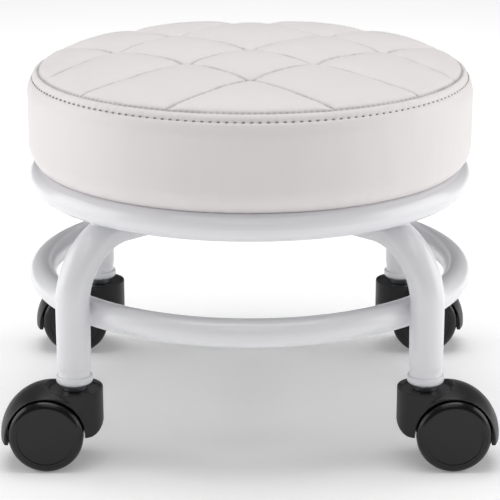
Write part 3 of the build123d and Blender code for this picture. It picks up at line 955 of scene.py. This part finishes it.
def repeat_tree():
    """Geometry Nodes: grains of one shape at an even pitch along every path, turned to follow it."""
    tree = bpy.data.node_groups.get("grains_along_path")
    if tree:
        return tree
    tree = bpy.data.node_groups.new("grains_along_path", "GeometryNodeTree")
    face = tree.interface
    face.new_socket("Path", in_out="INPUT", socket_type="NodeSocketGeometry")
    for label in ("Pitch", "Length", "Width", "Height", "Turn"):
        face.new_socket(label, in_out="INPUT", socket_type="NodeSocketFloat")
    face.new_socket("Finish", in_out="INPUT", socket_type="NodeSocketMaterial")
    face.new_socket("Grains", in_out="OUTPUT", socket_type="NodeSocketGeometry")
    given = add(tree, "NodeGroupInput").outputs
    curve = add(tree, "GeometryNodeMeshToCurve", {"Mesh": given["Path"]})
    even = add(
        tree,
        "GeometryNodeResampleCurve",
        {"Curve": curve.outputs["Curve"], "Length": given["Pitch"]},
        mode="LENGTH",
    )
    grain = add(tree, "GeometryNodeMeshUVSphere", {"Segments": 8, "Rings": 5, "Radius": 0.5})
    size = add(
        tree,
        "ShaderNodeCombineXYZ",
        {"X": given["Length"], "Y": given["Width"], "Z": given["Height"]},
    )
    shaped = add(
        tree,
        "GeometryNodeTransform",
        {"Geometry": grain.outputs["Mesh"], "Scale": size.outputs["Vector"]},
    )
    smooth = add(tree, "GeometryNodeSetShadeSmooth", {"Geometry": shaped.outputs["Geometry"]})
    tangent = add(tree, "GeometryNodeInputTangent")
    along = add(
        tree,
        "FunctionNodeAlignRotationToVector",
        {"Vector": tangent.outputs["Tangent"]},
        axis="X",
    )
    twist = add(tree, "ShaderNodeCombineXYZ", {"Z": given["Turn"]})
    turned = add(
        tree,
        "FunctionNodeRotateRotation",
        {"Rotation": along.outputs["Rotation"], "Rotate By": twist.outputs["Vector"]},
        rotation_space="LOCAL",
    )
    placed = add(
        tree,
        "GeometryNodeInstanceOnPoints",
        {
            "Points": even.outputs["Curve"],
            "Instance": smooth.outputs["Geometry"],
            "Rotation": turned.outputs["Rotation"],
        },
    )
    real = add(tree, "GeometryNodeRealizeInstances", {"Geometry": placed.outputs["Instances"]})
    done = add(
        tree,
        "GeometryNodeSetMaterial",
        {"Geometry": real.outputs["Geometry"], "Material": given["Finish"]},
    )
    add(tree, "NodeGroupOutput", {"Grains": done.outputs["Geometry"]})
    return tree


def repeat_along(name, loops, slot, pitch, length, width, height, turn=0.0):
    """A plain mesh piece of grains along the paths."""
    helper = path_object(name + "_path", loops)
    modifier = helper.modifiers.new("Grains", "NODES")
    tree = repeat_tree()
    modifier.node_group = tree
    values = {
        "Pitch": pitch,
        "Length": length,
        "Width": width,
        "Height": height,
        "Turn": turn,
        "Finish": finish(slot),
    }
    for item in tree.interface.items_tree:
        if item.in_out == "INPUT" and item.name in values:
            modifier[item.identifier] = values[item.name]
    mesh = evaluated_mesh(helper)
    drop(helper)
    return piece_of(name, mesh, slot)


class STOOL_OT_quilt_stitches(bpy.types.Operator):
    """Sew the quilt lines of the top panel, one stitch after another down in the creases"""

    bl_idname = "stool.quilt_stitches"
    bl_label = "Quilt stitches"

    def execute(self, context):
        quilt, seam = context.scene.stool_quilt, context.scene.stool_seam
        height = surface_height(bpy.data.objects[CUSHION])
        loops = []
        for side in (1, -1):
            for line in QUILT_LINES:
                u = np.arange(-SEAM_R, SEAM_R, 1 * MM)
                v = quilt_v(u, *line)
                x, y = side * (u - v) / math.sqrt(2), (u + v) / math.sqrt(2)
                keep = np.hypot(x, y) < SEAM_R - 2.5 * MM
                path = [height(a, b) + Vector((0, 0, 0.12 * MM)) for a, b in zip(x[keep], y[keep])]
                loops.append((path, False))
        thread = 0.4 * seam.thread
        repeat_along(
            "quilt_stitches",
            loops,
            "thread",
            quilt.stitch_pitch,
            0.72 * quilt.stitch_pitch,
            thread,
            thread,
        )
        return {"FINISHED"}


class STOOL_OT_edge_stitches(bpy.types.Operator):
    """Sew the topstitch row round the side band, below the seam"""

    bl_idname = "stool.edge_stitches"
    bl_label = "Edge topstitch"

    def execute(self, context):
        seam = context.scene.stool_seam
        along, line, outward = band_outline(BAND_STEP)
        r = np.interp(seam.row_distance, along, line[:, 0])
        z = np.interp(seam.row_distance, along, line[:, 1])
        out = [np.interp(seam.row_distance, along, outward[:, i]) for i in (0, 1)]
        tree = surface_tree(bpy.data.objects[CUSHION])
        path = []
        for x, y in circle_points(1, 4 * seam.row_stitches):
            toward = Vector((-x * out[0], -y * out[0], -out[1]))
            start = Vector((x * r, y * r, z)) - 8 * MM * toward
            path.append(tree.ray_cast(start, toward)[0] - 0.1 * MM * toward)
        pitch = 2 * math.pi * r / seam.row_stitches
        repeat_along(
            "edge_stitches",
            [(path, True)],
            "thread",
            pitch,
            seam.stitch_share * pitch,
            seam.thread,
            seam.thread,
        )
        return {"FINISHED"}


# ---- welds ----
LUG_WELD = 22 * MM              # length of the weld under a lug
RIPPLE_PITCH = 1.0 * MM         # a weld bead is a row of overlapping ripples
RIPPLE_LENGTH = 3.2 * MM
BEAD_WIDTH = 3.4 * MM
RIPPLE_TURN = 0.35              # how far a ripple is turned across its bead, in radians


def foot_weld(corner_x, corner_y):
    """Closed line where the foot ring meets a leg."""
    reach = math.hypot(corner_x, corner_y)
    middle = math.atan2(corner_y, corner_x)
    limit = math.acos((reach - LEG_R - FOOT_RING_R) / RING_R) * 0.999
    path = []
    for side in (1, -1):
        for t in np.linspace(-limit, limit, 40, endpoint=False) * side:
            rho = FOOT_RING_R + RING_R * math.cos(t)
            cosine = (rho**2 + reach**2 - LEG_R**2) / (2 * rho * reach)
            turn = middle + side * math.acos(min(1, cosine))
            path.append((rho * math.cos(turn), rho * math.sin(turn), FOOT_RING_Z + RING_R * math.sin(t)))
    return path


def crossing_weld(turn):
    """Closed line where a branch leg meets the middle of the hoop."""
    path = []
    for t in np.linspace(0, 2 * math.pi, 72, endpoint=False):
        along, up = LEG_R * math.cos(t), LEG_R * math.sin(t)
        out = abs(along)
        x = out * math.cos(turn) - along * math.sin(turn)
        y = out * math.sin(turn) + along * math.cos(turn)
        path.append((x, y, LEG_TOP_Z + up))
    return path


def lug_weld(turn):
    """Line where the underside of a seat lug meets the seat ring."""
    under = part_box("seat_lugs")[0].z
    rho = SEAT_RING_R - math.sqrt(RING_R**2 - (under - SEAT_RING_Z) ** 2)
    half = LUG_WELD / 2 / rho
    turns = np.linspace(turn - half, turn + half, 24)
    return [(rho * math.cos(t), rho * math.sin(t), under) for t in turns]


class STOOL_OT_welds(bpy.types.Operator):
    """Lay the weld beads of the foot ring, the crossing tubes and the seat lugs"""

    bl_idname = "stool.welds"
    bl_label = "Weld beads"

    def execute(self, context):
        corners = [(sx * LEG_X, sy * LEG_X) for sx in (1, -1) for sy in (1, -1)]
        beads = {
            "foot_ring_welds": [(foot_weld(*corner), True) for corner in corners],
            "crossing_welds": [(crossing_weld(math.radians(a)), True) for a in (135, -45)],
            "lug_welds": [(lug_weld(math.radians(a)), False) for a in (0, 90, 180, 270)],
        }
        for name, loops in beads.items():
            piece = repeat_along(
                name,
                loops,
                "white_powder_coat",
                RIPPLE_PITCH,
                RIPPLE_LENGTH,
                BEAD_WIDTH,
                BEAD_WIDTH,
                RIPPLE_TURN,
            )
        return {"FINISHED"}


# ---- casters ----
HOOD_VOXEL = 0.45 * MM          # mesh size of the hoods
HOOD_ROUNDS = 6                 # rounds of smoothing on their edges


def rounded_copy(node, voxel, rounds):
    """A copy of a solid's mesh with its sharp edges softly rounded, as they leave a mould."""
    mesh = frame["nodes"][node].data.copy()
    work = bmesh.new()
    work.from_mesh(mesh)
    bmesh.ops.remove_doubles(work, verts=work.verts, dist=1e-6)
    work.to_mesh(mesh)
    work.free()
    helper = bpy.data.objects.new(node + "_helper", mesh)
    bpy.context.scene.collection.objects.link(helper)
    remesh = helper.modifiers.new("Even", "REMESH")
    remesh.mode = "VOXEL"
    remesh.voxel_size = voxel
    smooth = helper.modifiers.new("Round", "SMOOTH")
    smooth.factor = 0.5
    smooth.iterations = rounds
    result = evaluated_mesh(helper)
    drop(helper)
    return result


class STOOL_OT_hoods(bpy.types.Operator):
    """Finish the four caster hoods with the rounded edges of a moulding"""

    bl_idname = "stool.hoods"
    bl_label = "Caster hoods"

    def execute(self, context):
        first = CORNERS[0]
        master = rounded_copy("hood_" + first, HOOD_VOXEL, HOOD_ROUNDS)
        start = axis_of("stem_" + first)
        for corner in CORNERS:
            stem = axis_of("stem_" + corner)
            turn = 0 if stem.x < 0 else math.pi
            mesh = master.copy()
            place = Matrix.Translation((stem.x, stem.y, 0)) @ Matrix.Rotation(turn, 4, "Z")
            mesh.transform(place @ Matrix.Translation((-start.x, -start.y, 0)))
            piece = piece_of("moulded_hood_" + corner, mesh, "black_nylon", "caster_" + corner)
            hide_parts("hood_" + corner)
        bpy.data.meshes.remove(master)
        return {"FINISHED"}


class STOOL_OT_finishes(bpy.types.Operator):
    """Give every solid of the frame its real finish"""

    bl_idname = "stool.finishes"
    bl_label = "Finishes of the solids"

    def execute(self, context):
        for part in frame["record"]["subparts"]:
            solid = frame["nodes"][part["node"]]
            material = finish(part["material_slot"])
            if not solid.material_slots:
                solid.data.materials.append(material)
            for slot in solid.material_slots:
                slot.material = material
        return {"FINISHED"}


# ---- stage ----
FLOOR_HALF = 6.0                # half the width of the floor
GLOW_FROM, GLOW_TO = 0.2, 0.9   # the floor's own light rises between these distances
GLOW_NEAR, GLOW_FAR = 0.17, 0.55
SKY_LIGHT = 0.2
LIT_POINT = (0, 0, 0.15)        # what the softboxes face
SOFTBOXES = (                   # name, place, width and height, power
    ("left_softbox", (-1.3, 0.0, 0.5), (1.2, 0.9), 7),
    ("right_softbox", (1.3, 0.0, 0.5), (1.2, 0.9), 7),
    ("top_softbox", (0, 0.1, 1.7), (1.4, 1.4), 17),
    ("front_softbox", (0, -1.3, 1.6), (1.0, 0.6), 2.5),
)


def area_light(name, place, aim, size, power):
    """A soft rectangular light that faces a point."""
    light = bpy.data.lights.new(name, "AREA")
    light.shape = "RECTANGLE"
    light.size, light.size_y = size
    light.energy = power
    lamp = bpy.data.objects.new(name, light)
    lamp.location = place
    lamp.rotation_euler = (Vector(aim) - Vector(place)).to_track_quat("-Z", "Y").to_euler()
    bpy.context.scene.collection.objects.link(lamp)
    return lamp


def stage_floor():
    """A wide pale floor that is lit from below, more so away from the stool."""
    mesh = bpy.data.meshes.new("studio_floor")
    corners = [(x * FLOOR_HALF, y * FLOOR_HALF, 0) for x, y in ((-1, -1), (1, -1), (1, 1), (-1, 1))]
    mesh.from_pydata(corners, [], [(0, 1, 2, 3)])
    material, tree, shader = new_material("lit_acrylic_table", Roughness=0.9)
    shader.inputs["Base Color"].default_value = (*linear("#f7f7f7"), 1)
    shader.inputs["Emission Color"].default_value = (1, 1, 1, 1)
    away = add(tree, "ShaderNodeVectorMath", {0: place_of(tree)}, operation="LENGTH")
    glow = add(
        tree,
        "ShaderNodeMapRange",
        {
            "Value": away.outputs["Value"],
            "From Min": GLOW_FROM,
            "From Max": GLOW_TO,
            "To Min": GLOW_NEAR,
            "To Max": GLOW_FAR,
        },
        interpolation_type="SMOOTHSTEP",
    )
    tree.links.new(glow.outputs["Result"], shader.inputs["Emission Strength"])
    mesh.materials.append(material)
    floor = bpy.data.objects.new("studio_floor", mesh)
    bpy.context.scene.collection.objects.link(floor)


class STOOL_OT_stage(bpy.types.Operator):
    """Set up the camera, the soft lights and the floor"""

    bl_idname = "stool.stage"
    bl_label = "Stage"

    def execute(self, context):
        scene = context.scene
        settings = scene.stool_stage
        tilt = math.radians(settings.height)
        camera = bpy.data.objects.new("camera", bpy.data.cameras.new("camera"))
        camera.data.lens = settings.lens
        camera.data.sensor_width = 36
        back = settings.distance
        camera.location = (0, -back * math.cos(tilt), settings.target + back * math.sin(tilt))
        camera.rotation_euler = (math.pi / 2 - tilt, 0, 0)
        scene.collection.objects.link(camera)
        scene.camera = camera
        world = bpy.data.worlds.new("studio")
        world.use_nodes = True
        sky = world.node_tree.nodes["Background"]
        sky.inputs["Color"].default_value = (1, 1, 1, 1)
        sky.inputs["Strength"].default_value = SKY_LIGHT
        scene.world = world
        scene.view_settings.view_transform = "Standard"
        for name, place, size, power in SOFTBOXES:
            area_light(name, place, LIT_POINT, size, power)
        stage_floor()
        return {"FINISHED"}


class STOOL_PT_panel(bpy.types.Panel):
    """The stool's settings and the pieces it is made of"""

    bl_label = "Pedicure stool"
    bl_idname = "STOOL_PT_panel"
    bl_space_type = "VIEW_3D"
    bl_region_type = "UI"
    bl_category = "Stool"

    def draw(self, context):
        for kind in OPERATORS:
            self.layout.operator(kind.bl_idname)
        for name, group in SETTINGS.items():
            box = self.layout.box()
            box.label(text=group.__doc__)
            for key in group.__annotations__:
                box.prop(getattr(context.scene, name), key)


SETTINGS = {
    "stool_quilt": QuiltSettings,
    "stool_seam": SeamSettings,
    "stool_finish": FinishSettings,
    "stool_stage": StageSettings,
}
OPERATORS = (
    STOOL_OT_stage,
    STOOL_OT_finishes,
    STOOL_OT_cushion,
    STOOL_OT_quilt_stitches,
    STOOL_OT_edge_stitches,
    STOOL_OT_welds,
    STOOL_OT_hoods,
)


def register():
    for kind in (*SETTINGS.values(), *OPERATORS, STOOL_PT_panel):
        bpy.utils.register_class(kind)
    for name, group in SETTINGS.items():
        setattr(bpy.types.Scene, name, PointerProperty(type=group))


def unregister():
    for name in SETTINGS:
        delattr(bpy.types.Scene, name)
    for kind in reversed((*SETTINGS.values(), *OPERATORS, STOOL_PT_panel)):
        bpy.utils.unregister_class(kind)


def main():
    """Makes the whole stool round the frame."""
    register()
    for kind in OPERATORS:
        section, name = kind.bl_idname.split(".")
        getattr(getattr(bpy.ops, section), name)()


if __name__ == "__main__":
    main()
